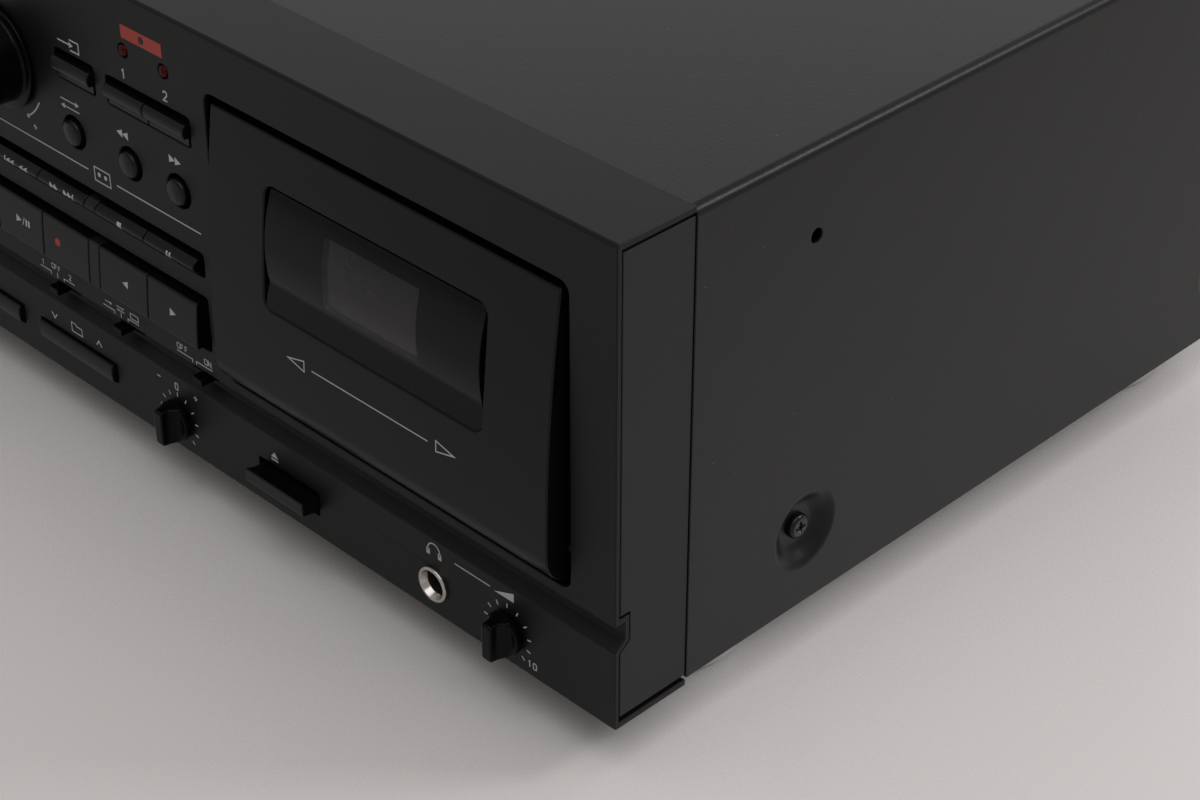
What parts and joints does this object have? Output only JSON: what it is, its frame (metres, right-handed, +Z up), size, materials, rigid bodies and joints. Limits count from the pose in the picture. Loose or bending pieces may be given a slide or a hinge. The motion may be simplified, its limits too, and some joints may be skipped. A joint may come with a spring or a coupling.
{
  "type": "cd cassette recorder",
  "caption": "Full-width stereo recorder with a motor disc tray, a tilting cassette door, push keys, a jog knob and slide switches in a dark steel case.",
  "frame": {"origin": "centre of the overall box at the foot of the feet", "axes": "+X to the right seen from the front, +Y to the back, +Z up"},
  "size_m": [0.435, 0.285, 0.145],
  "materials": {
    "front_black": "satin anodised black",
    "cover_grey": "textured dark paint",
    "zinc_steel": "zinc plated",
    "black_screw": "black oxide",
    "frame_plastic": "moulded black",
    "key_plastic": "satin black",
    "knob_plastic": "satin black",
    "foot_plastic": "silver grey",
    "smoked_glass": "smoked clear",
    "display_glass": "dark tinted",
    "lamp_red": "red tinted",
    "nickel": "plated",
    "brass_jack": "plated",
    "inlet_plastic": "moulded black",
    "board_green": "solder mask",
    "deck_black": "black oxide",
    "iron_core": "laminated",
    "white_plastic": "natural acetal",
    "mech_plastic": "moulded black"
  },
  "bodies": {
    "case": {"base_pan": "zinc_steel", "rear_panel": "cover_grey", "top_cover": "cover_grey", "cover_screws": "black_screw", "front_panel": "front_black", "front_subframe": "frame_plastic", "feet": "foot_plastic", "display_window": "display_glass", "record_lamps": "lamp_red", "phones_jack": "nickel", "level_pot": "zinc_steel", "usb_port": "nickel", "line_jacks": "brass_jack", "mains_inlet": "inlet_plastic", "main_board": "board_green", "control_board": "board_green", "power_transformer": "iron_core", "deck_frame": "mech_plastic", "deck_plate": "deck_black", "tape_motor": "zinc_steel", "disc_loader": "mech_plastic"},
    "door": {"cassette_door": "key_plastic", "door_window": "smoked_glass", "cassette_holder": "zinc_steel"},
    "damper": {"door_damper": "white_plastic"},
    "tray": {"disc_tray": "mech_plastic", "tray_front": "front_black"},
    "gear": {"tray_gear": "white_plastic"},
    "turntable": {"disc_turntable": "zinc_steel"},
    "pickup": {"laser_pickup": "mech_plastic"},
    "jog": {"jog_knob": "knob_plastic"},
    "pitch": {"pitch_knob": "knob_plastic"},
    "level": {"level_knob": "knob_plastic"},
    "timer": {"timer_switch": "key_plastic"},
    "reverse": {"reverse_switch": "key_plastic"},
    "noise": {"noise_switch": "key_plastic"},
    "eject": {"eject_button": "key_plastic"},
    "folder": {"folder_rocker": "key_plastic"},
    "supply": {"supply_reel": "mech_plastic"},
    "takeup": {"takeup_reel": "mech_plastic"},
    "capstan_a": {"capstan_left": "zinc_steel"},
    "capstan_b": {"capstan_right": "zinc_steel"},
    "head": {"head_block": "zinc_steel"},
    "power": {"power_button": "key_plastic"},
    "source": {"source_button": "key_plastic"},
    "usb_record": {"usb_record_button": "key_plastic"},
    "tape_record": {"tape_record_button": "key_plastic"},
    "repeat": {"repeat_button": "key_plastic"},
    "rewind": {"rewind_button": "key_plastic"},
    "fast_forward": {"fast_forward_button": "key_plastic"},
    "skip_back": {"skip_back_button": "key_plastic"},
    "skip_forward": {"skip_forward_button": "key_plastic"},
    "tape_stop": {"tape_stop_button": "key_plastic"},
    "tape_pause": {"tape_pause_button": "key_plastic"},
    "open_close": {"open_close_button": "key_plastic"},
    "play_pause": {"play_pause_button": "key_plastic"},
    "record": {"record_button": "key_plastic"},
    "reverse_play": {"reverse_play_button": "key_plastic"},
    "forward_play": {"forward_play_button": "key_plastic"},
    "mode": {"mode_button": "key_plastic"}
  },
  "joints": [
    {"name": "door_hinge", "type": "hinge", "parent": "case", "child": "door", "pos_m": [0.1397, -0.1237, 0.0566], "axis": [1, 0, 0], "range_deg": [0, 25]},
    {"name": "damper_spin", "type": "hinge", "parent": "case", "child": "damper", "pos_m": [0.0805, -0.11331, 0.0626], "axis": [1, 0, 0], "range_deg": [-75, 0]},
    {"name": "tray_slide", "type": "slide", "parent": "case", "child": "tray", "axis": [0, -1, 0], "range_m": [0, 0.135]},
    {"name": "gear_spin", "type": "hinge", "parent": "case", "child": "gear", "pos_m": [-0.077, -0.0935, 0.112], "axis": [0, 0, 1], "continuous": true},
    {"name": "disc_spin", "type": "hinge", "parent": "case", "child": "turntable", "pos_m": [-0.125, -0.0475, 0.117], "axis": [0, 0, 1], "continuous": true},
    {"name": "pickup_slide", "type": "slide", "parent": "case", "child": "pickup", "axis": [0, 1, 0], "range_m": [0, 0.033]},
    {"name": "jog_turn", "type": "hinge", "parent": "case", "child": "jog", "pos_m": [-0.012, -0.1345, 0.1085], "axis": [0, 1, 0], "continuous": true},
    {"name": "pitch_turn", "type": "hinge", "parent": "case", "child": "pitch", "pos_m": [0.0527, -0.1305, 0.0227], "axis": [0, 1, 0], "range_deg": [-140, 140]},
    {"name": "level_turn", "type": "hinge", "parent": "case", "child": "level", "pos_m": [0.1812, -0.1305, 0.0227], "axis": [0, 1, 0], "range_deg": [-140, 140]},
    {"name": "timer_slide", "type": "slide", "parent": "case", "child": "timer", "axis": [1, 0, 0], "range_m": [-0.003, 0.003]},
    {"name": "reverse_slide", "type": "slide", "parent": "case", "child": "reverse", "axis": [1, 0, 0], "range_m": [-0.003, 0.003]},
    {"name": "noise_slide", "type": "slide", "parent": "case", "child": "noise", "axis": [1, 0, 0], "range_m": [-0.006, 0]},
    {"name": "eject_push", "type": "slide", "parent": "case", "child": "eject", "axis": [0, 1, 0], "range_m": [0, 0.002], "stiffness_N_per_m": 600},
    {"name": "folder_rock", "type": "hinge", "parent": "case", "child": "folder", "pos_m": [0.0073, -0.1215, 0.024], "axis": [0, 0, 1], "range_deg": [-2.5, 2.5], "stiffness_Nm_per_rad": 0.08},
    {"name": "power_push", "type": "slide", "parent": "case", "child": "power", "axis": [0, 1, 0], "range_m": [0, 0.0008], "stiffness_N_per_m": 500},
    {"name": "source_push", "type": "slide", "parent": "case", "child": "source", "axis": [0, 1, 0], "range_m": [0, 0.0008], "stiffness_N_per_m": 500},
    {"name": "usb_record_push", "type": "slide", "parent": "case", "child": "usb_record", "axis": [0, 1, 0], "range_m": [0, 0.0008], "stiffness_N_per_m": 500},
    {"name": "tape_record_push", "type": "slide", "parent": "case", "child": "tape_record", "axis": [0, 1, 0], "range_m": [0, 0.0008], "stiffness_N_per_m": 500},
    {"name": "repeat_push", "type": "slide", "parent": "case", "child": "repeat", "axis": [0, 1, 0], "range_m": [0, 0.0008], "stiffness_N_per_m": 500},
    {"name": "rewind_push", "type": "slide", "parent": "case", "child": "rewind", "axis": [0, 1, 0], "range_m": [0, 0.0008], "stiffness_N_per_m": 500},
    {"name": "fast_forward_push", "type": "slide", "parent": "case", "child": "fast_forward", "axis": [0, 1, 0], "range_m": [0, 0.0008], "stiffness_N_per_m": 500},
    {"name": "skip_back_push", "type": "slide", "parent": "case", "child": "skip_back", "axis": [0, 1, 0], "range_m": [0, 0.0008], "stiffness_N_per_m": 500},
    {"name": "skip_forward_push", "type": "slide", "parent": "case", "child": "skip_forward", "axis": [0, 1, 0], "range_m": [0, 0.0008], "stiffness_N_per_m": 500},
    {"name": "tape_stop_push", "type": "slide", "parent": "case", "child": "tape_stop", "axis": [0, 1, 0], "range_m": [0, 0.0008], "stiffness_N_per_m": 500},
    {"name": "tape_pause_push", "type": "slide", "parent": "case", "child": "tape_pause", "axis": [0, 1, 0], "range_m": [0, 0.0008], "stiffness_N_per_m": 500},
    {"name": "open_close_push", "type": "slide", "parent": "case", "child": "open_close", "axis": [0, 1, 0], "range_m": [0, 0.0008], "stiffness_N_per_m": 500},
    {"name": "play_pause_push", "type": "slide", "parent": "case", "child": "play_pause", "axis": [0, 1, 0], "range_m": [0, 0.0008], "stiffness_N_per_m": 500},
    {"name": "record_push", "type": "slide", "parent": "case", "child": "record", "axis": [0, 1, 0], "range_m": [0, 0.0008], "stiffness_N_per_m": 500},
    {"name": "reverse_play_push", "type": "slide", "parent": "case", "child": "reverse_play", "axis": [0, 1, 0], "range_m": [0, 0.0008], "stiffness_N_per_m": 500},
    {"name": "forward_play_push", "type": "slide", "parent": "case", "child": "forward_play", "axis": [0, 1, 0], "range_m": [0, 0.0008], "stiffness_N_per_m": 500},
    {"name": "mode_push", "type": "slide", "parent": "case", "child": "mode", "axis": [0, 1, 0], "range_m": [0, 0.0008], "stiffness_N_per_m": 500},
    {"name": "supply_spin", "type": "hinge", "parent": "case", "child": "supply", "pos_m": [0.11845, -0.1125, 0.091], "axis": [0, 1, 0], "continuous": true},
    {"name": "takeup_spin", "type": "hinge", "parent": "case", "child": "takeup", "pos_m": [0.16095, -0.1125, 0.091], "axis": [0, 1, 0], "continuous": true},
    {"name": "capstan_spin", "type": "hinge", "parent": "case", "child": "capstan_a", "pos_m": [0.1137, -0.0975, 0.0635], "axis": [0, 1, 0], "continuous": true},
    {"name": "capstan_return_spin", "type": "hinge", "parent": "case", "child": "capstan_b", "pos_m": [0.1657, -0.0975, 0.0635], "axis": [0, 1, 0], "continuous": true},
    {"name": "head_lift", "type": "slide", "parent": "case", "child": "head", "axis": [0, 0, 1], "range_m": [0, 0.004]}
  ],
  "couplings": [
    {"joint": "damper_spin", "follows": "door_hinge", "ratio": -3},
    {"joint": "gear_spin", "follows": "tray_slide", "rad_per_m": 100},
    {"joint": "capstan_return_spin", "follows": "capstan_spin", "ratio": -1}
  ]
}
